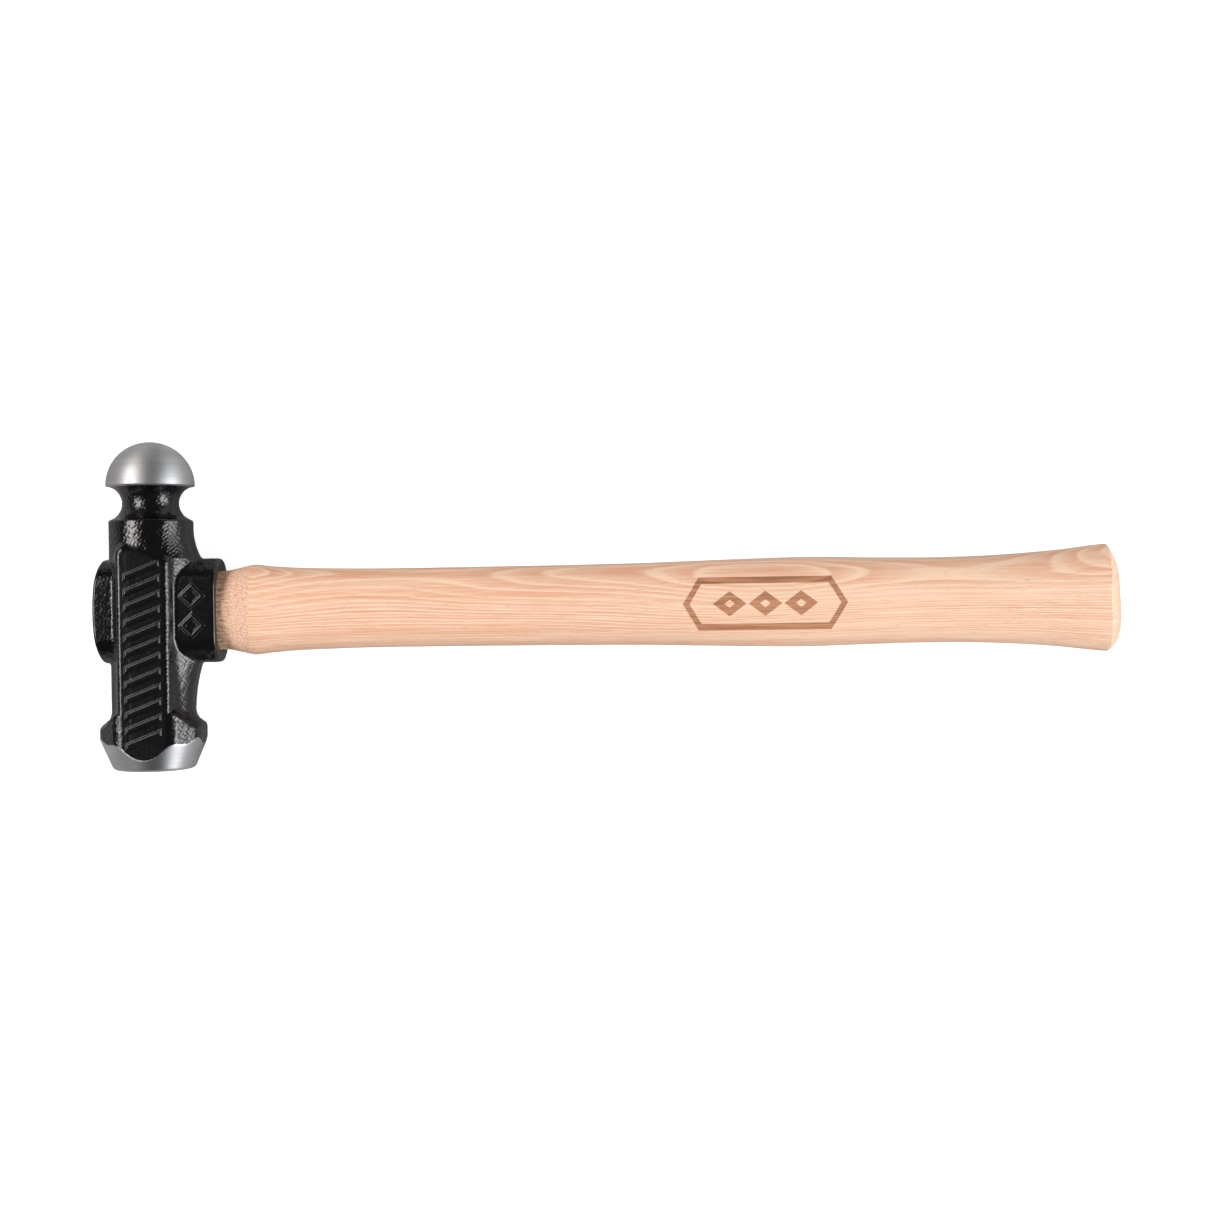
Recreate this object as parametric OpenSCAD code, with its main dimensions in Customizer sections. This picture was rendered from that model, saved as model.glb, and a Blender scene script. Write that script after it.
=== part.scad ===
// Ball peen hammer with a wooden handle, lying on one cheek of its head.
// X runs along the handle from the head to the butt, Y along the head from the striking face
// to the ball, and Z up. The origin is on the lower cheek, under the middle of the eye.

/* [Head] */
// From the middle of the eye to the crown of the ball
ball_reach = 67.3; // [66.5:0.1:70]
// From the middle of the eye to the striking face
face_reach = 62.8; // [62.5:0.1:66]
// Radius of the ball peen
ball_r = 17.4; // [16.5:0.1:17.6]
// Radius of the round body between the neck and the bell
body_r = 16.4; // [15.8:0.1:16.8]
// Radius of the neck at its narrowest
neck_r = 11.1; // [10.5:0.1:12.5]
// Half the thickness of the head across its two flat cheeks
cheek_z = 17.8; // [17.7:0.1:18.5]
// Width of the raised flat on each cheek
cheek_w = 20.8; // [18:0.1:21]
// Distance from the head's axis to the flats at the sides of the bell
bell_side = 19.9; // [19:0.1:20.5]
// Distance from the head's axis to the slanting flats of the bell
bell_slant = 20.3; // [19.8:0.1:20.8]
// Radius of the flat striking face
face_r = 16.1; // [15:0.1:16.5]

/* [Eye] */
// Half the height of the boss around the eye, along the head
boss_y = 20.6; // [20:0.1:22]
// Half the thickness of the boss around the eye
boss_z = 14.1; // [13.6:0.1:15]
// Radius of the long rounded edges of the boss
boss_edge_r = 12; // [10:0.5:13]
// How far the boss reaches beyond the head's axis on the wedge side
boss_out = 20.4; // [19.5:0.1:22]
// Radius of the crown on the boss's outer end
boss_crown_r = 100; // [80:5:140]
// How far the boss reaches beyond the head's axis on the handle side
boss_in = 27.8; // [27:0.1:29]
// Half the thickness of the eye at its two mouths
eye_mouth_z = 11; // [10.4:0.1:11.4]
// Half the thickness of the eye at its narrow middle
eye_throat_z = 9.8; // [9.4:0.1:10.2]
// Extra half height of the eye over its half thickness
eye_stretch = 5; // [4.9:0.1:5.4]

/* [Handle] */
// From the middle of the eye to the end of the butt
handle_end = 384; // [375:1:395]
// How far the wood is sunk in the outer mouth of the eye
wood_sink = 1.5; // [1.3:0.1:2.4]
// Points around each ring of the grip
ring_points = 32; // [24:4:40]
// Steps of the grip's surface between one station and the next
station_steps = 4; // [3:1:5]

/* [Wedges] */
// Thickness of the wooden wedge at its thick end
wedge_t = 4.6; // [4:0.1:5]
// Thickness of the wooden wedge at its tip
wedge_tip_t = 1.4; // [1.2:0.1:1.8]
// Length of the wooden wedge
wedge_len = 30; // [26:1:34]
// Thickness of a steel wedge at its thick end
steel_t = 2.8; // [2.4:0.1:3.2]
// Thickness of a steel wedge at its tip
steel_tip_t = 0.6; // [0.5:0.1:0.8]
// Width of a steel wedge across the eye
steel_w = 14; // [12:0.5:15]
// Length of a steel wedge
steel_len = 18; // [15:1:22]
// From the middle of the eye to each steel wedge
steel_y = 7.6; // [7:0.1:8.5]

/* [Hidden] */
$fn = 96;

// The ball sits on a narrow rim over a round groove, the neck
ball_y = ball_reach - ball_r;
neck_groove_r = 6.9;
neck_y = ball_y - 7.4;

// The bell: a steep flare out from the body, then a turned cone down to the face
cone_slope = 0.425;
flare_slope = 0.9;
flare_y = -42;
bell_y = (body_r - face_r + flare_slope * flare_y - cone_slope * face_reach)
         / (cone_slope + flare_slope);
bell_r = face_r + cone_slope * (face_reach + bell_y);

// The cheek's raised flat ends above the eye in a slanting step
cheek_top_wedge_side = 24.5;
cheek_top_handle_side = 19;
cheek_corner = 3;
cheek_root_z = 8;

kerf_w = 1.4;
kerf_len = 36;
tenon_end = 22;
wood_x = -boss_out + wood_sink;

// Stations of the grip: distance from the eye, half height, half thickness
STATIONS = [
    [19, 15.4, 10.35], [25, 15.6, 10.6], [31, 15.9, 10.9], [37, 17.2, 11.9],
    [41, 17.9, 12.3], [48, 17.2, 12.1], [60, 16.4, 11.6], [84, 15.8, 11.1], [104, 15.7, 10.9],
    [136, 15.8, 11.1], [168, 16, 11.4], [198, 16.4, 11.8], [228, 17.2, 12.3],
    [260, 17.8, 12.6], [290, 17.2, 12.3], [310, 16.95, 12.1], [330, 17.3, 12.1],
    [346, 18.1, 12.3], [360, 19.2, 12.6], [371, 20.5, 12.9], [handle_end - 5, 21.4, 13],
];
// The rounded end of the butt: distance back from the end, then how far the edge comes in
BUTT = [[3, 0.5], [1.4, 1.7], [0.5, 3.4], [0, 6]];

// A smooth curve through stations a, b, c and d, between b and c
function blend(a, b, c, d, t) =
    let (m1 = (c - a) * (c[0] - b[0]) / (c[0] - a[0]), m2 = (d - b) * (c[0] - b[0]) / (d[0] - b[0]))
    (2 * t ^ 3 - 3 * t ^ 2 + 1) * b + (t ^ 3 - 2 * t ^ 2 + t) * m1
    + (3 * t ^ 2 - 2 * t ^ 3) * c + (t ^ 3 - t ^ 2) * m2;

LAST = len(STATIONS) - 1;
GRIP = [
    for (i = [0 : LAST - 1], s = [0 : station_steps - 1])
        blend(STATIONS[max(i - 1, 0)], STATIONS[i], STATIONS[i + 1], STATIONS[min(i + 2, LAST)],
              s / station_steps),
    STATIONS[LAST],
    for (b = BUTT) [handle_end - b[0], STATIONS[LAST][1] - b[1], STATIONS[LAST][2] - b[1]],
];

// One oval ring of the grip, a little fuller than an ellipse
fullness = 0.92;
function signed_power(v, p) = sign(v) * abs(v) ^ p;
function ring(s) = [
    for (k = [0 : ring_points - 1])
        let (a = 360 * k / ring_points)
        [s[0], s[1] * signed_power(cos(a), fullness), s[2] * signed_power(sin(a), fullness)]
];

module loft(sections) {
    rings = len(sections);
    points = [for (s = sections) each ring(s)];
    sides = [
        for (i = [0 : rings - 2], k = [0 : ring_points - 1])
            let (n = (k + 1) % ring_points, a = i * ring_points, b = a + ring_points)
            each [[a + k, b + n, a + n], [a + k, b + k, b + n]]
    ];
    first = [for (k = [0 : ring_points - 1]) k];
    last = [for (k = [ring_points - 1 : -1 : 0]) (rings - 1) * ring_points + k];
    polyhedron(points = points, faces = concat([first, last], sides));
}

// A rectangle with round corners: half length a, half width b, corner radius r
module rounded(a, b, r) {
    square([2 * a, 2 * (b - r)], center = true);
    square([2 * (a - r), 2 * b], center = true);
    for (s = [-1, 1], t = [-1, 1]) translate([s * (a - r), t * (b - r)]) circle(r = r);
}

// Stands a drawing's X along Y and its Y along Z, and pushes it out along X
module along_x(from, to) {
    translate([from, 0, 0]) rotate([90, 0, 90]) linear_extrude(to - from) children();
}

// The eye: oval, and narrower in the middle than at both mouths
module eye(from, to) {
    slope = (eye_mouth_z - eye_throat_z) / boss_in;
    out = eye_throat_z + slope * boss_out;
    intersection() {
        union() {
            for (s = [-1, 1]) translate([0, s * eye_stretch, 0]) rotate([0, 90, 0]) {
                cylinder(r1 = eye_throat_z, r2 = eye_mouth_z, h = boss_in);
                rotate([180, 0, 0]) cylinder(r1 = eye_throat_z, r2 = out, h = boss_out);
            }
            rotate([90, 0, 0]) linear_extrude(2 * eye_stretch, center = true)
                polygon([[-boss_out, -out], [0, -eye_throat_z], [boss_in, -eye_mouth_z],
                         [boss_in, eye_mouth_z], [0, eye_throat_z], [-boss_out, out]]);
        }
        translate([from, -boss_y, -boss_z]) cube([to - from, 2 * boss_y, 2 * boss_z]);
    }
}

// Half section of everything that is round about the head's own axis
module turned_section() {
    difference() {
        union() {
            intersection() {
                translate([0, ball_y]) circle(r = ball_r);
                translate([0, neck_y]) square([ball_r, ball_reach]);
            }
            polygon([[0, -face_reach], [face_r, -face_reach], [bell_r, bell_y], [body_r, flare_y],
                     [body_r, neck_y], [ball_r, neck_y], [ball_r, ball_y], [0, ball_y]]);
        }
        translate([neck_r + neck_groove_r, neck_y]) circle(r = neck_groove_r);
    }
}

// The eight flats of the bell, seen along the head
module bell_flats() {
    slant = bell_slant * sqrt(2);
    polygon([
        for (q = [[1, 1], [-1, 1], [-1, -1], [1, -1]])
            let (side = [q[0] * bell_side, q[1] * (slant - bell_side)],
                 cheek = [q[0] * (slant - cheek_z), q[1] * cheek_z])
            each (q[0] * q[1] > 0 ? [side, cheek] : [cheek, side])
    ]);
}

// Turns a drawing with the head's axis as its Y about that axis
module turned() {
    rotate([-90, 0, 0]) rotate_extrude() children();
}

// The raised flats of the two cheeks, cut off by the cone of the bell
module cheeks() {
    w = cheek_w / 2;
    intersection() {
        for (s = [0, 1]) mirror([0, 0, s]) translate([0, 0, cheek_root_z])
            linear_extrude(cheek_z - cheek_root_z)
                polygon([[-w, -face_reach], [w, -face_reach], [w, cheek_top_handle_side],
                         [cheek_corner - w, cheek_top_wedge_side],
                         [-w, cheek_top_wedge_side - cheek_corner]]);
        turned() polygon([[0, -face_reach], [face_r, -face_reach], [bell_r, bell_y],
                          [bell_r, ball_reach], [0, ball_reach]]);
    }
}

// The boss around the eye, crowned at its outer end
module boss() {
    intersection() {
        along_x(-boss_out, boss_in) rounded(boss_y, boss_z, boss_edge_r);
        translate([boss_crown_r - boss_out, 0, 0])
            cylinder(r = boss_crown_r, h = 4 * boss_z, center = true);
    }
}

module steel_blank(side) {
    translate([wood_x, side * steel_y, 0])
        linear_extrude(steel_w, center = true)
            polygon([[0, -steel_t / 2], [steel_len, -steel_tip_t / 2],
                     [steel_len, steel_tip_t / 2], [0, steel_t / 2]]);
}

module wedge_blank() {
    intersection() {
        rotate([90, 0, 0]) linear_extrude(2 * boss_y, center = true)
            translate([wood_x, 0])
                polygon([[0, -wedge_t / 2], [wedge_len, -wedge_tip_t / 2],
                         [wedge_len, wedge_tip_t / 2], [0, wedge_t / 2]]);
        eye(wood_x, boss_in);
    }
}

module forged_head() {
    color([0.06, 0.06, 0.065]) translate([0, 0, cheek_z]) difference() {
        union() {
            intersection() {
                turned() turned_section();
                rotate([90, 0, 0]) linear_extrude(4 * ball_reach, center = true) bell_flats();
            }
            cheeks();
            boss();
        }
        eye(-boss_out, boss_in);
    }
}

module handle() {
    color([0.93, 0.76, 0.6]) translate([0, 0, cheek_z]) difference() {
        union() {
            eye(wood_x, tenon_end);
            loft(GRIP);
        }
        wedge_blank();
        translate([wood_x + wedge_len / 2, -boss_y, -kerf_w / 2])
            cube([kerf_len - wedge_len / 2, 2 * boss_y, kerf_w]);
        for (s = [-1, 1]) steel_blank(s);
    }
}

module wooden_wedge() {
    color([0.8, 0.62, 0.42]) translate([0, 0, cheek_z]) difference() {
        wedge_blank();
        for (s = [-1, 1]) steel_blank(s);
    }
}

module steel_wedge(side) {
    color([0.6, 0.6, 0.62]) translate([0, 0, cheek_z]) steel_blank(side);
}

forged_head();
handle();
wooden_wedge();
steel_wedge(1);  // steel_wedge_ball_side
steel_wedge(-1);  // steel_wedge_face_side
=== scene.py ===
"""Ball peen hammer: the looks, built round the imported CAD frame.

Lengths inside the script are millimetres in the CAD frame (X along the handle, Y along the head
towards the ball, Z up); the meshes are written in metres.
"""

import math

import bmesh
import bpy
import numpy as np
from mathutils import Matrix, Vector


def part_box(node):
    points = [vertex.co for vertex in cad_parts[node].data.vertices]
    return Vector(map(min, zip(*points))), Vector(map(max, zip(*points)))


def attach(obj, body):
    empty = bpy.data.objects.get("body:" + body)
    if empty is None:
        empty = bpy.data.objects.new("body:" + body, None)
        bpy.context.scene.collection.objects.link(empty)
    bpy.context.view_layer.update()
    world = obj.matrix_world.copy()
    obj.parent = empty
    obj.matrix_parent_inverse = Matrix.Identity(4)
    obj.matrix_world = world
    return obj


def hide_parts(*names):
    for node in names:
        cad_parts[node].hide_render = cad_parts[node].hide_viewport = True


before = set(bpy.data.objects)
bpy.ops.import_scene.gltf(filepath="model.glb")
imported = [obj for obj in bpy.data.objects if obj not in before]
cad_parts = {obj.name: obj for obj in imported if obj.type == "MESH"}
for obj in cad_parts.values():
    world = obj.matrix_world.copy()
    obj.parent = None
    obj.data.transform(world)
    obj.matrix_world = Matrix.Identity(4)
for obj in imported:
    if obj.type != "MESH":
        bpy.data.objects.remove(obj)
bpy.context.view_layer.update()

MM = 0.001

# ---------------------------------------------------------------- sizes

head_low, head_high = (np.array(corner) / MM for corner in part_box("forged_head"))
handle_low, handle_high = (np.array(corner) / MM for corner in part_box("handle"))

# Head: the extremes come from the frame, the rest are the forging's own proportions
AXIS_Z = (head_low[2] + head_high[2]) / 2
CHEEK_Z = (head_high[2] - head_low[2]) / 2
FACE_Y = head_low[1]

# The ball, its narrow rim, and the groove under it that makes the neck
BALL_R = 17.4
BALL_Y = head_high[1] - BALL_R
RIM_Y = BALL_Y - 0.55
RIM_EDGE_R = 0.12
NECK_R = 11.1
GROOVE_R = 6.9
NECK_Y = BALL_Y - 7.1
OVERLAP = 3.0

# The round body, with a flat inner and outer flank. It swells towards the boss along two parabolas,
# each given by its start, its length and twice its radius. The swelling is less above and below.
BODY_R = 17.0
BODY_EDGE_R = 0.9
INNER_X = 16.1
OUTER_X = 15.4
WAIST_FLAT = 0.9
WAIST_EDGE_R = 1.5
WAIST_Y = (-2, -18)
SWELL_ABOVE = (32.6, 12, 46)
SWELL_BELOW = (-41, 20.4, 130)
SWELL_FADE = 0.2
SWELL_FADE_Z = (6, 14)

# The striking face, the turned bevel behind it, and the bell's flare and flats
FACE_R = 15.9
FACE_EDGE_R = 1.2
CONE_SLOPE = 0.425
CONE_EDGE_R = 0.2
FLARE_SLOPE = 1.25
FLARE_Y = FACE_Y + 21.6
FLARE_RISE = 5.0
FLARE_RISE_SINE = (0.5, 0.87)
FLARE_LEAN = 0.012
FLARE_EDGE_R = 0.8
BELL_SIDE = 19.9
BELL_SIDE_R = 1.8
BELL_SLANT = 20.3
BELL_SLANT_R = 2.0
BODY_END_Y = FACE_Y + 12

# The raised cheeks: their outline, and the draft and the roundness of their sides
CHEEK_HALF_WIDTH = 10.4
CHEEK_DRAFT = 0.1
CHEEK_TOP_POINT = (-6.8, 25.4)
CHEEK_TOP_NORMAL = (0.32, 0.947)
CHEEK_CORNER = 23.9
CHEEK_OUTLINE_R = 1.0
CHEEK_EDGE_R = 2.2
CHEEK_FLAT_R = 0.1

# The boss round the eye, and the eye
BOSS_HALF_HEIGHT = 20.6
BOSS_HALF_THICKNESS = 14.1
BOSS_EDGE_R = 12.0
BOSS_OUT = head_low[0]
BOSS_IN = head_high[0]
BOSS_IN_R = 1.2
BOSS_OUT_R = 1.0
BOSS_CROWN_R = 100.0
EYE_THROAT = 9.8
EYE_SLOPE = 1.2 / BOSS_IN
EYE_STRETCH = 5.0
EYE_LIP_R = 0.8

# Hollow fillets: round the boss, narrower above and below, and round the bell and the cheeks
BOSS_FILLET = (1.9, 0.8)
BOSS_FILLET_Z = (5, 12)
RAISED_FILLET = 2.2

# The plain ornaments that stand on the upper side
MARK_HEIGHT = 0.8
MARK_EDGE_R = 0.7
MARK_FILLET = 0.4
MARK_LOWEST_Z = 10
BAR_PITCH = 6.0
BAR_HALF_WIDTH = 1.2
BAR_HALF_LENGTH = 6.9
BAR_SLANT = 0.4
BARS_MIDDLE_Y = -17
BARS_EACH_SIDE = 6
LOZENGE_X = 19
LOZENGE_Y = 5.8
LOZENGE_SIZE = 3.9
LOZENGE_HALF_LINE = 0.9

# The wrinkled paint, and the fineness of the mesh
RIPPLE_HEIGHT = 0.028
RIPPLE_COUNT = 18
RIPPLE_LENGTHS = (1.1, 2.6)
RIPPLE_SEED = 11
HEAD_STEP = 0.4
HEAD_MARGIN = 1.5


# ---------------------------------------------------------------- the head as a field

def join(a, b, radius):
    """Union of two fields with a hollow fillet of that radius."""
    corner = np.hypot(np.maximum(radius - a, 0), np.maximum(radius - b, 0))
    return np.maximum(radius, np.minimum(a, b)) - corner


def meet(a, b, radius):
    """Intersection of two fields with a rounded edge of that radius."""
    corner = np.hypot(np.maximum(radius + a, 0), np.maximum(radius + b, 0))
    return np.minimum(-radius, np.maximum(a, b)) + corner


def ease(value, low, high):
    """0 at low and before it, 1 at high and past it, and a smooth rise between them."""
    t = np.clip((value - low) / (high - low), 0, 1)
    return t * t * (3 - 2 * t)


def swelling(y):
    """How far the body swells towards the handle on its way to the boss."""
    start, length, spread = SWELL_ABOVE
    above = np.clip(start - y, 0, length) ** 2 / spread
    start, length, spread = SWELL_BELOW
    below = np.clip(y - start, 0, length) ** 2 / spread
    return np.minimum(above, below)


def body_section(x, y, z):
    """The body's outline. A slanting plane, clear of it near the boss, flattens the waist's corners."""
    swell = swelling(y) * (1 - SWELL_FADE * ease(np.abs(z), *SWELL_FADE_Z))
    inner = np.maximum(x - swell, 0)
    across = np.where(x > 0, inner, -x)
    flank = np.where(x > 0, inner - INNER_X, -x - OUTER_X)
    clear = WAIST_EDGE_R - (WAIST_EDGE_R + WAIST_FLAT) * ease(y, *WAIST_Y)
    slant = (across + np.abs(z)) / math.sqrt(2) - BODY_R - clear
    return meet(meet(np.hypot(across, z) - BODY_R, slant, WAIST_EDGE_R), flank, BODY_EDGE_R)


def turned_top(x, y, z, r):
    """Body, groove of the neck, and ball on its narrow rim."""
    sphere = np.where(y > BALL_Y, np.hypot(r, y - BALL_Y), r) - BALL_R
    ball = np.maximum(sphere, NECK_Y - OVERLAP - y)
    body = np.maximum(body_section(x, y, z), y - NECK_Y - OVERLAP)
    groove = GROOVE_R - np.hypot(r - NECK_R - GROOVE_R, y - NECK_Y)
    return meet(np.minimum(ball, body), groove, np.where(y < NECK_Y, BODY_EDGE_R, RIM_EDGE_R))


def bell_cone(y, r):
    """The turned bevel that runs down to the striking face."""
    return (r - FACE_R - CONE_SLOPE * (y - FACE_Y)) / math.hypot(1, CONE_SLOPE)


def bell(x, y, z, r):
    """Eight-sided bell between the flare below the waist and the turned bevel."""
    sine = np.abs(z) / np.maximum(r, 1)
    start = FLARE_Y + FLARE_LEAN * x + FLARE_RISE * ease(sine, *FLARE_RISE_SINE)
    flare = (r - OUTER_X - FLARE_SLOPE * (start - y)) / math.hypot(1, FLARE_SLOPE)
    slant = (np.abs(x) + np.abs(z)) / math.sqrt(2) - BELL_SLANT
    flats = meet(np.abs(z) - CHEEK_Z, slant, BELL_SLANT_R)
    flats = meet(flats, np.abs(x) - BELL_SIDE, BELL_SIDE_R)
    return meet(meet(flare, flats, FLARE_EDGE_R), bell_cone(y, r), CONE_EDGE_R)


def cheeks(x, y, z, r):
    """The raised flats on the upper and the lower side, with a slanting upper end."""
    drop = CHEEK_DRAFT * (CHEEK_Z - np.abs(z))
    side = np.abs(x) - CHEEK_HALF_WIDTH - drop
    top = ((x - CHEEK_TOP_POINT[0]) * CHEEK_TOP_NORMAL[0]
           + (y - CHEEK_TOP_POINT[1]) * CHEEK_TOP_NORMAL[1]) - 2 * drop
    corner = (y - x) / math.sqrt(2) - CHEEK_CORNER
    outline = meet(meet(side, top, CHEEK_OUTLINE_R), corner, CHEEK_OUTLINE_R)
    return np.maximum(meet(outline, np.abs(z) - CHEEK_Z, CHEEK_EDGE_R), bell_cone(y, r))


def boss(x, y, z):
    """Boss round the eye: a rounded rectangle in section, crowned at its outer end."""
    across = np.abs(y) - BOSS_HALF_HEIGHT + BOSS_EDGE_R
    up = np.abs(z) - BOSS_HALF_THICKNESS + BOSS_EDGE_R
    outside = np.hypot(np.maximum(across, 0), np.maximum(up, 0))
    section = outside + np.minimum(np.maximum(across, up), 0) - BOSS_EDGE_R
    outer_end = np.hypot(x - BOSS_OUT - BOSS_CROWN_R, y) - BOSS_CROWN_R
    return meet(meet(section, x - BOSS_IN, BOSS_IN_R), outer_end, BOSS_OUT_R)


def eye(x, y, z):
    """The hole for the handle, narrowest in the middle."""
    oval = np.hypot(np.maximum(np.abs(y) - EYE_STRETCH, 0), z)
    return oval - EYE_THROAT - EYE_SLOPE * np.abs(x)


def cheek_mark(x, y):
    """How far inside a plain ornament, a row of slanted bars along the cheek, a place is."""
    along = y - BAR_SLANT * x - BARS_MIDDLE_Y
    from_bar = np.abs(along % BAR_PITCH - BAR_PITCH / 2)
    in_row = np.minimum(BAR_HALF_LENGTH - np.abs(x), BARS_EACH_SIDE * BAR_PITCH - np.abs(along))
    return np.minimum(BAR_HALF_WIDTH - from_bar, in_row)


def boss_mark(x, y):
    """How far inside two plain lozenge outlines beside the eye a place is."""
    size = np.abs(x - LOZENGE_X) + np.abs(np.abs(y) - LOZENGE_Y)
    return LOZENGE_HALF_LINE - np.abs(size - LOZENGE_SIZE) / math.sqrt(2)


def ornaments(x, y, z):
    """The raised ornaments on the upper side of the head."""
    on_cheek = meet(-cheek_mark(x, y), z - CHEEK_Z - MARK_HEIGHT, MARK_EDGE_R)
    on_boss = meet(-boss_mark(x, y), z - BOSS_HALF_THICKNESS - MARK_HEIGHT, MARK_EDGE_R)
    return np.maximum(np.minimum(on_cheek, on_boss), MARK_LOWEST_Z - z)


def ripple(x, y, z):
    """Wrinkles of gloss paint over the forging's skin: short waves in random directions."""
    random = np.random.default_rng(RIPPLE_SEED)
    height = 0.0
    for _ in range(RIPPLE_COUNT):
        direction = random.normal(size=3)
        direction *= 2 * math.pi / random.uniform(*RIPPLE_LENGTHS) / np.linalg.norm(direction)
        height = height + np.sin(direction[0] * x + direction[1] * y + direction[2] * z
                                 + random.uniform(0, 2 * math.pi))
    return height * RIPPLE_HEIGHT * math.sqrt(2 / RIPPLE_COUNT)


def wrinkled(x, y, z, r):
    """1 on the rough painted skin, less on the smooth cheeks and boss, 0 on the bare turned ends."""
    coated = ease(-bell_cone(y, r), 0.1, 0.7) * ease(RIM_Y - y, 0.2, 0.8)
    cheek = ease(np.abs(z), CHEEK_Z - 0.5, CHEEK_Z - 0.1) * ease(np.abs(x), 9.6, 8.0)
    beside_eye = ease(np.abs(x), 12.5, 14) * ease(np.abs(y), 16, 12) * np.where(x > 0, 1, 0.75)
    return coated * (1 - 0.8 * np.maximum(cheek, beside_eye))


def head_field(x, y, z):
    """Negative inside the forging. z is measured from the head's axis."""
    r = np.hypot(x, z)
    wide, narrow = BOSS_FILLET
    hollow = wide - (wide - narrow) * ease(np.abs(z), *BOSS_FILLET_Z)
    body = join(np.maximum(turned_top(x, y, z, r), BODY_END_Y - y), boss(x, y, z), hollow)
    raised = np.minimum(bell(x, y, z, r), cheeks(x, y, z, r))
    whole = meet(join(body, raised, RAISED_FILLET), np.abs(z) - CHEEK_Z, CHEEK_FLAT_R)
    whole = join(whole, ornaments(x, y, z), MARK_FILLET)
    whole = whole + ripple(x, y, z) * wrinkled(x, y, z, r)
    whole = meet(whole, FACE_Y - y, FACE_EDGE_R)
    return meet(whole, -eye(x, y, z), EYE_LIP_R)


# ---------------------------------------------------------------- meshing a field

NEWTON_STEPS = 4
LEAST_STEEPNESS = 0.2
SLOPE_REACH = 0.02


def crossings(values, axis):
    """Grid edges along one axis that cross the surface: the points, and the four cells round each."""
    ahead = np.roll(values, -1, axis)
    edge = np.argwhere((values < 0) != (ahead < 0))
    start, end = values[tuple(edge.T)], ahead[tuple(edge.T)]
    points = edge.astype(float)
    points[:, axis] += start / (start - end)
    unit = np.eye(3, dtype=int)
    u, v = unit[(axis + 1) % 3], unit[(axis + 2) % 3]
    around = [edge, edge - u, edge - u - v, edge - v]
    cells = np.stack([np.ravel_multi_index(c.T, values.shape) for c in around], axis=1)
    cells[start > 0] = cells[start > 0][:, ::-1]
    return points, cells


def gradient(field, points):
    """Slope of the field at each point."""
    slopes = []
    for step in np.eye(3) * SLOPE_REACH:
        change = field(*(points + step).T) - field(*(points - step).T)
        slopes.append(change / (2 * SLOPE_REACH))
    return np.stack(slopes, axis=1)


def surface(field, low, high, step):
    """Closed quad mesh of field == 0 inside a box, with its vertices pulled onto the surface."""
    ticks = [np.arange(a, b, step) for a, b in zip(low, high)]
    values = field(*np.meshgrid(*ticks, indexing="ij", sparse=True))
    found = [crossings(values, axis) for axis in range(3)]
    points = np.concatenate([f[0] for f in found])
    cells = np.concatenate([f[1] for f in found])
    _, quads = np.unique(cells, return_inverse=True)
    quads = quads.reshape(cells.shape)
    share = np.bincount(quads.ravel())
    sums = [np.bincount(quads.ravel(), weights=np.repeat(points[:, k], 4)) for k in range(3)]
    vertices = np.array(low) + step * np.stack(sums, axis=1) / share[:, None]
    for _ in range(NEWTON_STEPS):
        slope = gradient(field, vertices)
        steepness = np.maximum((slope ** 2).sum(1), LEAST_STEEPNESS)
        vertices -= slope * (field(*vertices.T) / steepness)[:, None]
    normals = gradient(field, vertices)
    return vertices, quads.tolist(), normals / np.linalg.norm(normals, axis=1)[:, None]


def add_object(name, data):
    """Puts a new object in the scene."""
    made = bpy.data.objects.new(name, data)
    bpy.context.collection.objects.link(made)
    return made


def new_piece(name, vertices, faces, material):
    """A smooth mesh object from millimetre vertices that are measured from the head's axis."""
    mesh = bpy.data.meshes.new(name)
    mesh.from_pydata((vertices + (0, 0, AXIS_Z)) * MM, [], faces)
    mesh.polygons.foreach_set("use_smooth", [True] * len(mesh.polygons))
    mesh.materials.append(material)
    return add_object(name, mesh)


# ---------------------------------------------------------------- the handle as a loft

# Places and steps along X: the tenon, the rough shoulder and the grip
TENON_X = handle_low[0]
TENON_BLEND_X = (19, 27)
TENON_STEP = 1.5
FIT = 0.05
SHOULDER_X = 40.2
SHOULDER_DEPTH = 0.14
SHOULDER_HALF_EDGE = 0.3
GRIP_X = BOSS_IN + 2.5
GRIP_FINE_END_X = 46
GRIP_FINE_STEP = 0.4
GRIP_STEP = 1.25
RING_POINTS = 144
ROUNDNESS = 2 / 0.92

# The butt. Its crease lies further from the end above and below than at the sides, and a little further
# on the ball's side. The share of the radius that the turned end loses varies in the same way.
BUTT_X = handle_high[0]
CREASE_X = BUTT_X - 4.2
CREASE_VARIES = (0.2, 1.3)
END_LOSS = (0.47, 0.15, 0.2)
END_SHARES = (0.0, 0.01, 0.03, 0.06, 0.1, 0.15, 0.22, 0.31, 0.42, 0.55, 0.7, 0.86, 1.0)
END_FULLNESS = 2.4
PROFILE_END_X = BUTT_X - 4.5
LAST_GAP = 2.6


def cad_profile():
    """Distance along the handle, half height and half thickness of each ring of the CAD grip."""
    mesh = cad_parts["handle"].data
    points = np.array([v.co for v in mesh.vertices]) / MM - (0, 0, AXIS_Z)
    points = points[points[:, 0] > BOSS_IN + 1]
    stations = np.unique(np.round(points[:, 0], 2))
    rings = [np.abs(points[np.abs(points[:, 0] - s) < 0.02]).max(axis=0)[1:] for s in stations]
    return stations, np.array(rings)


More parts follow.
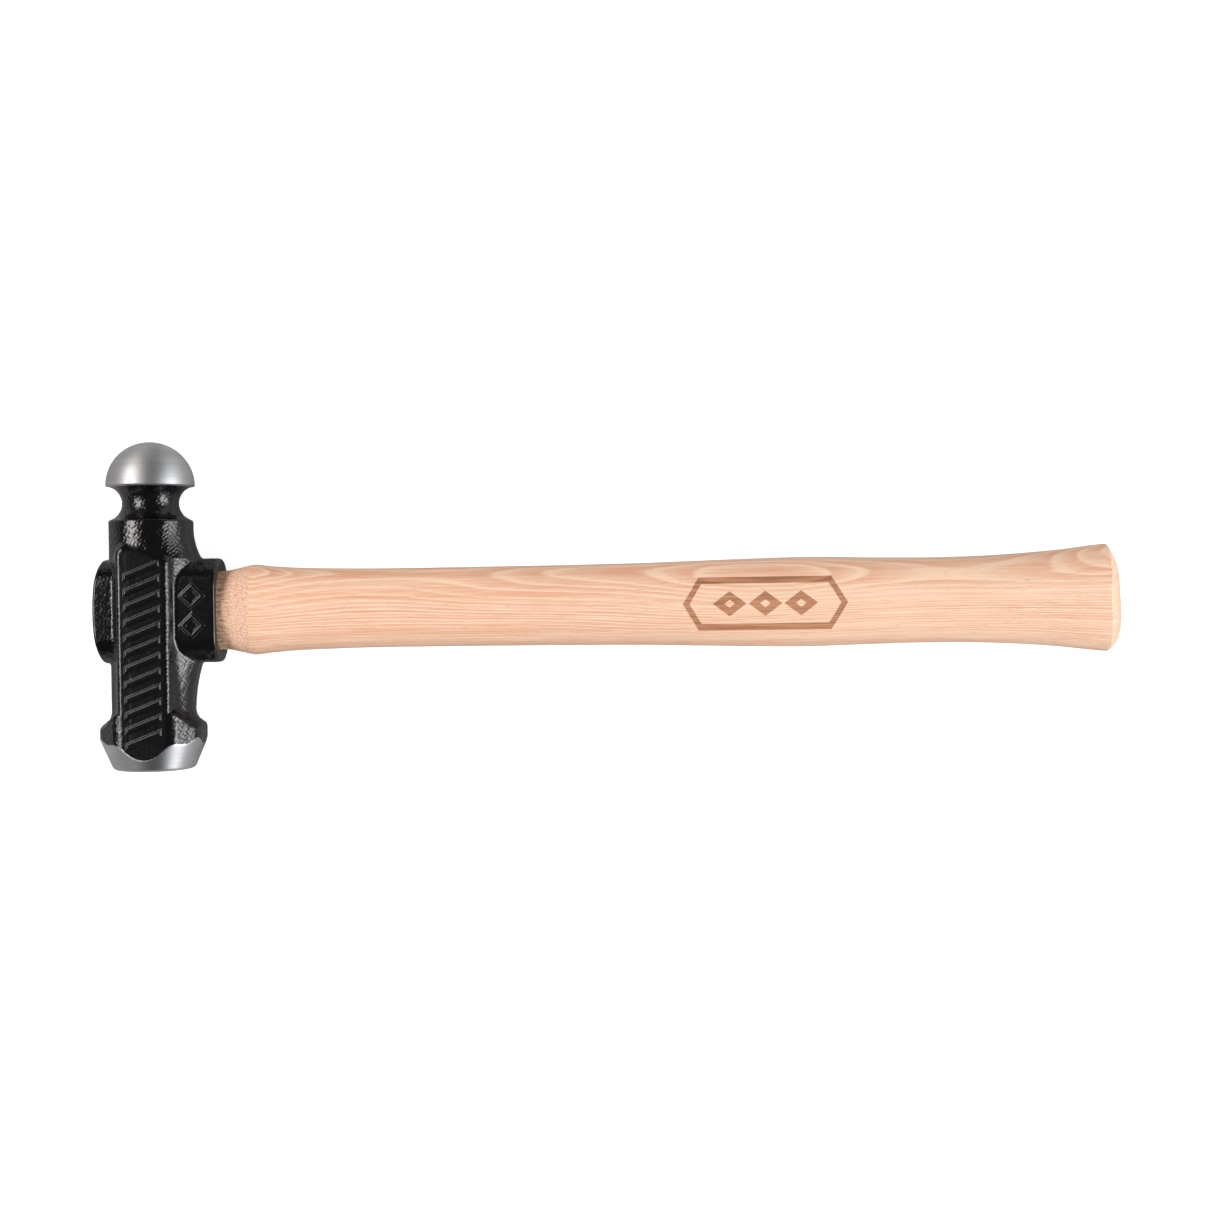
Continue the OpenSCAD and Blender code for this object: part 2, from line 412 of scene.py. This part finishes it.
def smooth_curve(at, stations, rows):
    """Hermite curve through the rows, one row a station."""
    slopes = np.gradient(rows, stations, axis=0)
    i = np.clip(np.searchsorted(stations, at, side="right") - 1, 0, len(stations) - 2)
    gap = (stations[i + 1] - stations[i])[:, None]
    t = (at - stations[i])[:, None] / gap
    return ((2 * t ** 3 - 3 * t ** 2 + 1) * rows[i] + (t ** 3 - 2 * t ** 2 + t) * gap * slopes[i]
            + (3 * t ** 2 - 2 * t ** 3) * rows[i + 1] + (t ** 3 - t ** 2) * gap * slopes[i + 1])


def oval_radius(angle, half_y, half_z):
    """Radius of the grip's oval section, which is a little fuller than an ellipse."""
    across = (np.abs(np.cos(angle)) / half_y) ** ROUNDNESS
    return (across + (np.abs(np.sin(angle)) / half_z) ** ROUNDNESS) ** (-1 / ROUNDNESS)


def tenon_radius(angle, x):
    """Radius of the tenon's section: the eye's own oval, less the fit."""
    r = EYE_THROAT + EYE_SLOPE * abs(x) - FIT
    sine, cosine = np.abs(np.sin(angle)), np.abs(np.cos(angle))
    flat = r / np.maximum(sine, 1e-9)
    tip = EYE_STRETCH * cosine + np.sqrt(r ** 2 - (EYE_STRETCH * sine) ** 2)
    return np.where(flat * cosine < EYE_STRETCH, flat, tip)


def ring_angles():
    """Angles round a section, spaced evenly along its outline rather than round its middle."""
    flatness = 0.72
    turn = np.linspace(0, 2 * np.pi, RING_POINTS, endpoint=False)
    return np.arctan2(flatness * np.sin(turn), np.cos(turn))


def ring(angle, x, radius):
    """Points of one section; x may differ from point to point."""
    return np.stack([x + 0 * angle, radius * np.cos(angle), radius * np.sin(angle)], axis=1)


def tenon_rings(angle, stations, sizes):
    """From the wedged end to the shoulder, where the eye's oval turns into the grip's."""
    rings = []
    for x in np.arange(TENON_X, BOSS_IN + 2, TENON_STEP):
        half_y, half_z = smooth_curve(np.array([max(x, stations[0])]), stations, sizes)[0]
        grip = ease(x, *TENON_BLEND_X)
        radius = tenon_radius(angle, x) * (1 - grip) + oval_radius(angle, half_y, half_z) * grip
        rings.append(ring(angle, x, radius))
    return rings


def grip_rings(angle, stations, sizes, last):
    """The grip itself. The rough shoulder next to the head lies a little deeper."""
    fine = np.arange(GRIP_X, GRIP_FINE_END_X, GRIP_FINE_STEP)
    places = np.concatenate([fine, np.arange(GRIP_FINE_END_X, last, GRIP_STEP)])
    edge = (SHOULDER_X - SHOULDER_HALF_EDGE, SHOULDER_X + SHOULDER_HALF_EDGE)
    rings = []
    for x, (half_y, half_z) in zip(places, smooth_curve(places, stations, sizes)):
        depth = SHOULDER_DEPTH * (1 - ease(x, *edge))
        rings.append(ring(angle, x, oval_radius(angle, half_y, half_z) - depth))
    return rings


def butt_rings(angle, half_y, half_z):
    """Crease, then the turned end: steep at the crease, fuller on the striking face's side."""
    across, up = np.cos(angle), np.sin(angle) ** 2
    crease = CREASE_X - CREASE_VARIES[0] * across - CREASE_VARIES[1] * up
    loss = END_LOSS[0] + END_LOSS[1] * across + END_LOSS[2] * up
    outline = oval_radius(angle, half_y, half_z)
    rings = [ring(angle, crease - 0.5, outline)]
    for share in END_SHARES:
        x = crease + (BUTT_X - crease) * (1 - (1 - share) ** END_FULLNESS)
        rings.append(ring(angle, x, outline * (1 - share * loss)))
    return rings


def loft(rings):
    """Vertices and faces of a closed skin over rings that all have the same number of points."""
    count = len(rings[0])
    vertices = np.concatenate(rings)
    k = np.arange(count)
    n = (k + 1) % count
    faces = [[int(v) for v in k[::-1]]]
    for i in range(len(rings) - 1):
        a, b = i * count, (i + 1) * count
        faces += np.stack([a + k, a + n, b + n, b + k], axis=1).tolist()
    faces.append([int(v) for v in (len(rings) - 1) * count + k])
    return vertices, faces


def handle_mesh():
    """The whole handle: the CAD grip's profile as far as the crease, then the turned end."""
    stations, sizes = cad_profile()
    before_end = stations < PROFILE_END_X
    stations, sizes = stations[before_end], sizes[before_end]
    angle = ring_angles()
    rings = tenon_rings(angle, stations, sizes)
    rings += grip_rings(angle, stations, sizes, stations[-1] - LAST_GAP)
    return loft(rings + butt_rings(angle, *sizes[-1]))


# ---------------------------------------------------------------- slots for the wedges

SLOT_GAP = 0.12
KERF = 6
WOODEN_TIP = 1.4
STEEL_TIP = 0.6


def prism(outline, half_depth, deep_along_y):
    """A cutter: its outline lies in X and one other axis, and it is as deep as the third."""
    count = len(outline)
    corners = [(x, d, w) if deep_along_y else (x, w, d)
               for d in (-half_depth, half_depth) for x, w in outline]
    sides = [(k, (k + 1) % count, (k + 1) % count + count, k + count) for k in range(count)]
    mesh = bpy.data.meshes.new("cutter")
    mesh.from_pydata((np.array(corners) + (0, 0, AXIS_Z)) * MM, [],
                     [tuple(range(count)), tuple(range(count, 2 * count))] + sides)
    shape = bmesh.new()
    shape.from_mesh(mesh)
    bmesh.ops.recalc_face_normals(shape, faces=shape.faces)
    shape.to_mesh(mesh)
    shape.free()
    return add_object("cutter", mesh)


def subtract(piece, cutter):
    """Cuts one shape out of a piece for good, and throws the cutter away."""
    modifier = piece.modifiers.new("slot", "BOOLEAN")
    modifier.operation = "DIFFERENCE"
    modifier.solver = "EXACT"
    modifier.object = cutter
    shape = piece.evaluated_get(bpy.context.evaluated_depsgraph_get())
    cut = bpy.data.meshes.new_from_object(shape)
    piece.modifiers.clear()
    piece.data = cut
    bpy.data.objects.remove(cutter)


def taper(low, high, thick, thin, kerf=0.0):
    """Outline of a wedge's slot, open past the end of the wood, with an optional saw kerf."""
    points = [(low - 1, thick / 2), (high, thin / 2)]
    if kerf:
        points.append((high + kerf, thin / 2))
    return [(x, -w) for x, w in points] + [(x, w) for x, w in reversed(points)]


def cut_wedge_slots(handle):
    """The kerf that the wooden wedge opens, and the two cuts that the steel wedges make across it."""
    low, high = (np.array(corner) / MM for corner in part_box("wooden_wedge"))
    thick = high[2] - low[2] + SLOT_GAP
    slot = taper(low[0], high[0], thick, WOODEN_TIP + SLOT_GAP, kerf=KERF)
    subtract(handle, prism(slot, BOSS_HALF_HEIGHT, True))
    for side in ("ball", "face"):
        low, high = (np.array(corner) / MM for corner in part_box(f"steel_wedge_{side}_side"))
        middle = (low[1] + high[1]) / 2
        slot = taper(low[0], high[0], high[1] - low[1] + SLOT_GAP, STEEL_TIP + SLOT_GAP)
        slot = [(x, w + middle) for x, w in slot]
        subtract(handle, prism(slot, (high[2] - low[2] + SLOT_GAP) / 2, False))


# ---------------------------------------------------------------- shader nodes

class Number:
    """A value in a material's node tree. Arithmetic on it adds Math nodes."""

    def __init__(self, tree, output):
        self.tree = tree
        self.output = output

    def math(self, operation, *others):
        made = self.tree.nodes.new("ShaderNodeMath")
        made.operation = operation
        for socket, value in zip(made.inputs, (self,) + others):
            feed(socket, value)
        return Number(self.tree, made.outputs[0])

    def __add__(self, other):
        return self.math("ADD", other)

    def __sub__(self, other):
        return self.math("SUBTRACT", other)

    def __mul__(self, other):
        return self.math("MULTIPLY", other)

    def __truediv__(self, other):
        return self.math("DIVIDE", other)

    def __abs__(self):
        return self.math("ABSOLUTE")

    def floor(self):
        return self.math("FLOOR")

    def fraction(self):
        return self.math("FRACT")

    def root(self):
        return self.math("SQRT")

    def most(self, other):
        return self.math("MAXIMUM", other)

    def rise(self, low, high, to=1.0):
        """0 below low, `to` above high, and a smooth rise between them."""
        made = self.tree.nodes.new("ShaderNodeMapRange")
        made.interpolation_type = "SMOOTHSTEP"
        for name, value in (("Value", self), ("From Min", low), ("From Max", high), ("To Max", to)):
            feed(made.inputs[name], value)
        return Number(self.tree, made.outputs[0])


def feed(socket, value):
    """Links a Number to a socket, or sets the socket to a plain value."""
    if isinstance(value, Number):
        socket.id_data.links.new(value.output, socket)
    else:
        socket.default_value = value


def new_material(name):
    """A material with its Principled shader: (material, node tree, shader)."""
    material = bpy.data.materials.new(name)
    material.use_nodes = True
    return material, material.node_tree, material.node_tree.nodes["Principled BSDF"]


def position(tree):
    """Where the surface is, in millimetres from the head's axis, as three Numbers."""
    place = tree.nodes.new("ShaderNodeTexCoord")
    split = tree.nodes.new("ShaderNodeSeparateXYZ")
    tree.links.new(place.outputs["Object"], split.inputs[0])
    x, y, z = (Number(tree, output) / MM for output in split.outputs)
    return x, y, z - AXIS_Z


def noise(x, y, z, detail=2.0, roughness=0.5):
    """Smooth noise from 0 to 1 over three Numbers that are already scaled."""
    join_axes = x.tree.nodes.new("ShaderNodeCombineXYZ")
    for socket, value in zip(join_axes.inputs, (x, y, z)):
        feed(socket, value)
    made = x.tree.nodes.new("ShaderNodeTexNoise")
    x.tree.links.new(join_axes.outputs[0], made.inputs["Vector"])
    made.inputs["Scale"].default_value = 1.0
    made.inputs["Detail"].default_value = detail
    made.inputs["Roughness"].default_value = roughness
    return Number(x.tree, made.outputs["Fac"])


def random_step(number):
    """A random value from 0 to 1 for each whole number."""
    made = number.tree.nodes.new("ShaderNodeTexWhiteNoise")
    made.noise_dimensions = "1D"
    feed(made.inputs["W"], number.floor())
    return Number(number.tree, made.outputs["Value"])


def blend(factor, first, second):
    """Colour between two colours, which are tuples or Numbers."""
    made = factor.tree.nodes.new("ShaderNodeMix")
    made.data_type = "RGBA"
    feed(made.inputs["Factor"], factor)
    feed(made.inputs[6], first)
    feed(made.inputs[7], second)
    return Number(factor.tree, made.outputs[2])


def colour(red, green, blue):
    """Linear colour, with its alpha, from the 0 to 255 values of a swatch."""
    shares = (red / 255, green / 255, blue / 255)
    return tuple(((share + 0.055) / 1.055) ** 2.4 for share in shares) + (1.0,)


def bump(shader, height, depth):
    """Raises the shading by height, a Number, times depth in millimetres."""
    tree = height.tree
    made = tree.nodes.new("ShaderNodeBump")
    made.inputs["Strength"].default_value = 1.0
    made.inputs["Distance"].default_value = depth * MM
    tree.links.new(height.output, made.inputs["Height"])
    tree.links.new(made.outputs[0], shader.inputs["Normal"])


# ---------------------------------------------------------------- materials

BLACK = (0.0028, 0.003, 0.0034, 1)
BLACK_DUSTY = (0.0055, 0.006, 0.007, 1)
STEEL = (0.555, 0.56, 0.57, 1)
STEEL_TARNISHED = (0.43, 0.435, 0.45, 1)
MILD_STEEL = (0.42, 0.41, 0.4, 1)
MILD_STEEL_SCALED = (0.26, 0.255, 0.25, 1)

HICKORY_EARLY = colour(254, 219, 191)
HICKORY_LATE = colour(227, 163, 128)
HICKORY_SANDED = colour(250, 212, 188)
HICKORY_GRIT = colour(196, 138, 104)
HICKORY_DARK_AT_MOUTH = colour(160, 120, 84)
BURNT = colour(198, 136, 96)
BURNT_DARK = colour(142, 88, 54)
WEDGE_EARLY = colour(196, 150, 108)
WEDGE_LATE = colour(150, 100, 62)

# The growth rings run round a pith outside the handle, and are wider in the outermost wood
PITH_Y = -99.0
PITH_Z = -112.5
HICKORY_RING = 0.72
WEDGE_RING = 1.1
OUTER_WOOD = 157.0
OUTER_WIDENING = 0.3

# The burnt ornament's middle, half sizes, half line width and lozenge pitch
BURN_X = 243.0
BURN_Y = -0.3
BURN_HALF_LENGTH = 31.0
BURN_HALF_HEIGHT = 9.2
BURN_HALF_LINE = 1.3
BURN_PITCH = 14.0


def bare_places(x, y, z, r):
    """1 on the turned bevel, the striking face and the ball, 0 on the painted skin."""
    ragged = (noise(x * 0.9, y * 0.9, z * 0.9, 3) - 0.5) * 0.35
    cone = (y - FACE_Y) * CONE_SLOPE + FACE_R
    on_cone = (r - cone + ragged).rise(-0.2, -0.08)
    near_face = y.rise(FACE_Y + 1.7, FACE_Y + 1.5)
    on_ball = (y + ragged * 0.3).rise(RIM_Y - 0.12, RIM_Y - 0.02)
    return on_cone.most(near_face).most(on_ball)


def brush_round_axis(tree, shader, bare):
    """Stretches the steel's highlights across the marks that the lathe left round the axis."""
    feed(shader.inputs["Anisotropic"], bare * 0.45)
    feed(shader.inputs["Anisotropic Rotation"], bare * 0.25)
    round_axis = tree.nodes.new("ShaderNodeTangent")
    round_axis.direction_type = "RADIAL"
    round_axis.axis = "Y"
    tree.links.new(round_axis.outputs[0], shader.inputs["Tangent"])


def head_material():
    """Glossy black paint over a cast-looking skin, with bare turned steel at both ends."""
    material, tree, shader = new_material("black_paint_and_bare_steel")
    x, y, z = position(tree)
    r = (x * x + z * z).root()
    bare = bare_places(x, y, z, r)
    stain = noise(x * 0.07, y * 0.07, z * 0.07, 4)
    dust = noise(x * 0.5, y * 0.5, z * 0.5, 3)
    cast = noise(x * 0.9, y * 0.9, z * 0.9, 3, 0.6)
    lathe = noise(r * 0.4, y * 2.2, y * 0.3, 4, 0.75)

    tarnish = stain.rise(0.35, 0.7) * 0.5 + lathe.rise(0.4, 0.65) * 0.5
    paint = blend(dust, BLACK, BLACK_DUSTY)
    steel = blend(tarnish, STEEL, STEEL_TARNISHED)
    feed(shader.inputs["Base Color"], blend(bare, paint, steel))
    feed(shader.inputs["Metallic"], bare)

    paint_rough = cast * 0.14 + 0.09
    duller_ball = y.rise(-1, 1, 0.14)
    steel_rough = stain * 0.1 + lathe * 0.16 + 0.26 + duller_ball
    feed(shader.inputs["Roughness"], paint_rough + (steel_rough - paint_rough) * bare)
    shader.inputs["IOR"].default_value = 1.55
    brush_round_axis(tree, shader, bare)
    bump(shader, cast + (lathe * 0.4 - cast) * bare, 0.05)
    return material


def burnt_mark(x, y, z):
    """A plain ornament burnt into the grip: a long hexagon round three lozenges."""
    along = abs(x - BURN_X)
    height = abs(y - BURN_Y)
    hexagon = (height - BURN_HALF_HEIGHT).most(along + height * 0.6 - BURN_HALF_LENGTH)
    outline = abs(hexagon).rise(BURN_HALF_LINE + 0.12, BURN_HALF_LINE - 0.12)
    cell = abs(((x - BURN_X) / BURN_PITCH + 0.5).fraction() - 0.5) * BURN_PITCH
    size = cell * 0.75 + height
    three_cells = along.rise(BURN_PITCH * 1.5, BURN_PITCH * 1.5 - 0.1)
    lozenges = size.rise(5.0, 4.8) * size.rise(1.5, 1.7) * three_cells
    return outline.most(lozenges) * z.rise(0, 1)


def growth_rings(x, y, z, spacing):
    """How many growth rings a place is from the pith. The rings drift and waver along the grain."""
    drift = (noise(x * 0.007, y * 0.03, z * 0.03, 1) - 0.5) * 9
    waver = (noise(x * 0.02, y * 0.15, z * 0.15, 2) - 0.5) * 0.7
    from_pith_y = y - PITH_Y
    from_pith_z = z - PITH_Z
    from_pith = (from_pith_y * from_pith_y + from_pith_z * from_pith_z).root()
    depth = from_pith + drift + waver
    depth = depth - (depth - OUTER_WOOD).most(0) * OUTER_WIDENING
    return depth / spacing + (noise(depth * 0.35, x * 0.002, 0.0, 1) - 0.5) * 2.6


def wood_surface(place, early_colour, late_colour, spacing):
    """Wood as a solid, its fibres along X: colour, relief, roughness, and how dark its late wood is."""
    x, y, z = place
    rings = growth_rings(x, y, z, spacing)
    phase = rings.fraction()
    tone = random_step(rings)
    late = (phase.rise(0.3, 0.9) - phase.rise(0.93, 1.0)) * (tone * tone * 0.26 + 0.07)
    early = (phase.rise(0.0, 0.08) - phase.rise(0.15, 0.42)) * (tone * 0.22 + 0.17)
    fibre = noise(x * 0.03, y * 1.3, z * 1.3, 3, 0.65)
    hair = noise(x * 0.06, y * 3.4, z * 3.4, 2, 0.6)
    streak = noise(x * 0.006, y * 0.35, z * 0.35, 2)
    pores = noise(x * 0.25, y * 6, z * 6, 1).rise(0.66, 0.72) * phase.rise(0.6, 0.3)
    towards_head = x.rise(250, 120, 0.1)
    shade = late - early + (fibre - 0.5) * 0.6 + (hair - 0.5) * 0.8 + (streak - 0.5) * 0.6
    shade = shade + towards_head + 0.36
    skin = blend(shade.rise(0, 1), early_colour, late_colour)
    pore_colour = tuple(part * 0.5 for part in late_colour[:3]) + (1,)
    skin = blend(pores * 0.4, skin, pore_colour)
    return skin, fibre * 0.5 + hair * 0.4 - pores, fibre * 0.1 + 0.42, fibre + late * 0.8


def sanded_shoulder(place, skin, relief, rough):
    """The coarsely sanded shoulder of the grip, darker in patches where it enters the eye."""
    x, y, z = place
    ragged = (noise(x * 0.6, y * 1.2, z * 1.2, 2) - 0.5) * 0.8
    sawn = (x + ragged).rise(SHOULDER_X + 0.15, SHOULDER_X - 0.15)
    grit = noise(x * 2.0, y * 1.6, z * 1.6, 3, 0.75)
    skin = blend(sawn * 0.85, skin, blend(grit.rise(0.4, 0.7), HICKORY_SANDED, HICKORY_GRIT))
    # Close to the eye's mouth the wood is blended towards a darker brown, in patches.
    at_mouth = x.rise(BOSS_IN + 7.0, BOSS_IN + 1.5)
    mouth_patches = noise(x * 0.3, y * 1.4, z * 1.4, 2).rise(0.45, 0.6)
    skin = blend(at_mouth * (mouth_patches * 0.65 + 0.15), skin, HICKORY_DARK_AT_MOUTH)
    return skin, relief + grit * sawn * 3, rough + sawn * 0.3


def finish_wood(shader, skin, relief, rough):
    """Gives a shader the wood's colour, relief and roughness."""
    feed(shader.inputs["Base Color"], skin)
    feed(shader.inputs["Roughness"], rough)
    bump(shader, relief, 0.05)


def hickory():
    """The handle's wood, with its sanded shoulder, its end grain and the burnt ornament."""
    material, tree, shader = new_material("hickory")
    place = position(tree)
    skin, relief, rough, grain = wood_surface(place, HICKORY_EARLY, HICKORY_LATE, HICKORY_RING)
    skin, relief, rough = sanded_shoulder(place, skin, relief, rough)
    end_grain = place[0].rise(BUTT_X - 3.6, BUTT_X - 1.5)
    skin = blend(end_grain * 0.4, skin, HICKORY_LATE)
    mark = burnt_mark(*place)
    skin = blend(mark * 0.9, skin, blend(grain.rise(0.35, 0.75), BURNT, BURNT_DARK))
    finish_wood(shader, skin, relief - mark * 2.5, rough + mark * 0.2)
    return material


def wedge_wood():
    """The wooden wedge's plainer, browner wood."""
    material, tree, shader = new_material("wedge_wood")
    skin, relief, rough, _ = wood_surface(position(tree), WEDGE_EARLY, WEDGE_LATE, WEDGE_RING)
    finish_wood(shader, skin, relief, rough)
    return material


def wedge_steel():
    """Mild steel wedges, struck flush: scaled, scratched and a little dull."""
    material, tree, shader = new_material("wedge_steel")
    x, y, z = position(tree)
    scale = noise(x * 0.8, y * 0.8, z * 0.8, 4)
    scratch = noise(x * 0.5, y * 9, z * 1.2, 2)
    feed(shader.inputs["Base Color"], blend(scale, MILD_STEEL, MILD_STEEL_SCALED))
    shader.inputs["Metallic"].default_value = 1.0
    feed(shader.inputs["Roughness"], scale * 0.25 + scratch * 0.1 + 0.25)
    bump(shader, scale + scratch * 0.3, 0.08)
    return material


# ---------------------------------------------------------------- the pieces

SHARP_ANGLE = 35


def keep(piece, node):
    """Registers a piece that stands for one CAD node."""
    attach(piece, "root")
    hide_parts(node)


def make_head():
    """The forging, as a mesh of its field, with the field's own normals."""
    low = head_low - (HEAD_MARGIN, HEAD_MARGIN, HEAD_MARGIN + AXIS_Z)
    high = head_high + (HEAD_MARGIN, HEAD_MARGIN, HEAD_MARGIN - AXIS_Z + MARK_HEIGHT)
    vertices, quads, normals = surface(head_field, low, high, HEAD_STEP)
    head = new_piece("head", vertices, quads, head_material())
    head.data.normals_split_custom_set_from_vertices(normals)
    keep(head, "forged_head")


def make_handle():
    """The handle, lofted and slotted. Edges such as the slots' stay sharp."""
    handle = new_piece("grip", *handle_mesh(), hickory())
    cut_wedge_slots(handle)
    handle.data.set_sharp_from_angle(angle=math.radians(SHARP_ANGLE))
    keep(handle, "handle")


def dress(node, material):
    """Gives a CAD node that stays a better material."""
    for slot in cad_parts[node].material_slots:
        slot.material = material


def dress_wedges():
    """The three wedges keep their CAD shapes."""
    dress("wooden_wedge", wedge_wood())
    steel = wedge_steel()
    dress("steel_wedge_ball_side", steel)
    dress("steel_wedge_face_side", steel)


# ---------------------------------------------------------------- the studio

# Metres, millimetres for the lens, and degrees
CAMERA_AT = (0.1635, 0.0057, AXIS_Z * MM + 0.6802)
CAMERA_TURN = (-0.544, 0.122, -0.832)
CAMERA_LENS = 50.6
CAMERA_SHIFT = 0.04
FLOOR_HALF_SIZE = 4.0
FLOOR_GREY = (0.45, 0.45, 0.45, 1)
FLOOR_GLOW = 0.9
DARK_OVERHEAD = 0.03
WHITE = (1, 1, 1, 1)

# Each softbox is three panels of one shape: their sizes and their shares of its power
PANELS = ((1.0, 0.55), (0.62, 0.3), (0.34, 0.15))
PANEL_GAP = 0.01


def make_camera():
    """Looks straight down on the upper cheek, from over the first third of the handle."""
    data = bpy.data.cameras.new("camera")
    data.sensor_width = 36
    data.lens = CAMERA_LENS
    data.shift_x = CAMERA_SHIFT
    camera = add_object("camera", data)
    camera.location = CAMERA_AT
    camera.rotation_euler = [math.radians(angle) for angle in CAMERA_TURN]
    bpy.context.scene.camera = camera


def camera_ray(tree):
    """1 where the camera looks at the surface itself, 0 where something reflects it."""
    path = tree.nodes.new("ShaderNodeLightPath")
    return Number(tree, path.outputs["Is Camera Ray"])


def make_floor():
    """A pale floor that glows a little, as a studio's lit sweep does, and more further away."""
    mesh = bpy.data.meshes.new("floor")
    sides = ((-1, -1), (1, -1), (1, 1), (-1, 1))
    corners = [(x * FLOOR_HALF_SIZE, y * FLOOR_HALF_SIZE, 0) for x, y in sides]
    mesh.from_pydata(corners, [], [(0, 1, 2, 3)])
    floor = add_object("floor", mesh)
    material, tree, shader = new_material("pale_floor")
    shader.inputs["Base Color"].default_value = FLOOR_GREY
    shader.inputs["Roughness"].default_value = 0.9
    shader.inputs["Specular IOR Level"].default_value = 0.1
    shader.inputs["Emission Color"].default_value = WHITE
    x, y, _ = position(tree)
    far_glow = (x * x + y * y).root().rise(500, 1500, 0.1)
    feed(shader.inputs["Emission Strength"], camera_ray(tree) * (far_glow + FLOOR_GLOW))
    mesh.materials.append(material)


def softbox(name, tilt, along, distance, width, length, watts, tint):
    """A long soft light, brighter in its middle because its panels lie one over another.

    It is tilted from overhead towards +X, and shifted along the head.
    """
    angle = math.radians(tilt)
    for panel, (size, share) in enumerate(PANELS):
        data = bpy.data.lights.new(f"{name}_{panel}", "AREA")
        data.shape = "RECTANGLE"
        data.size = width * size
        data.size_y = length * size
        data.energy = watts * share
        data.color = tint
        light = add_object(data.name, data)
        reach = distance - PANEL_GAP * panel
        light.location = (reach * math.sin(angle), along, reach * math.cos(angle))
        light.rotation_euler = (0, angle, 0)
        light.visible_camera = False


def make_lights():
    """A cool softbox over the handle's side and a warm one over the other."""
    softbox("softbox_right", tilt=65, along=-0.45, distance=1.6, width=1.0, length=2.0,
            watts=26, tint=(0.97, 0.985, 1.0))
    softbox("softbox_left", tilt=-38, along=0.35, distance=1.4, width=0.85, length=2.0,
            watts=24.5, tint=(1.0, 0.95, 0.915))


def make_world():
    """Bright near the floor, most so towards the butt, and dark overhead: black gloss stays black."""
    world = bpy.data.worlds.new("studio")
    bpy.context.scene.world = world
    world.use_nodes = True
    tree = world.node_tree
    background = tree.nodes["Background"]
    place = tree.nodes.new("ShaderNodeTexCoord")
    split = tree.nodes.new("ShaderNodeSeparateXYZ")
    tree.links.new(place.outputs["Generated"], split.inputs[0])
    height = Number(tree, split.outputs["Z"])
    horizon = Number(tree, split.outputs["X"]).rise(-0.2, 0.9, 0.7) + 0.35
    level = height.rise(0.3, 0.12) * horizon + DARK_OVERHEAD
    background.inputs["Color"].default_value = WHITE
    feed(background.inputs["Strength"], level.most(camera_ray(tree)))


make_camera()
make_floor()
make_lights()
make_world()
make_head()
make_handle()
dress_wedges()
bpy.context.scene.view_settings.view_transform = "Standard"
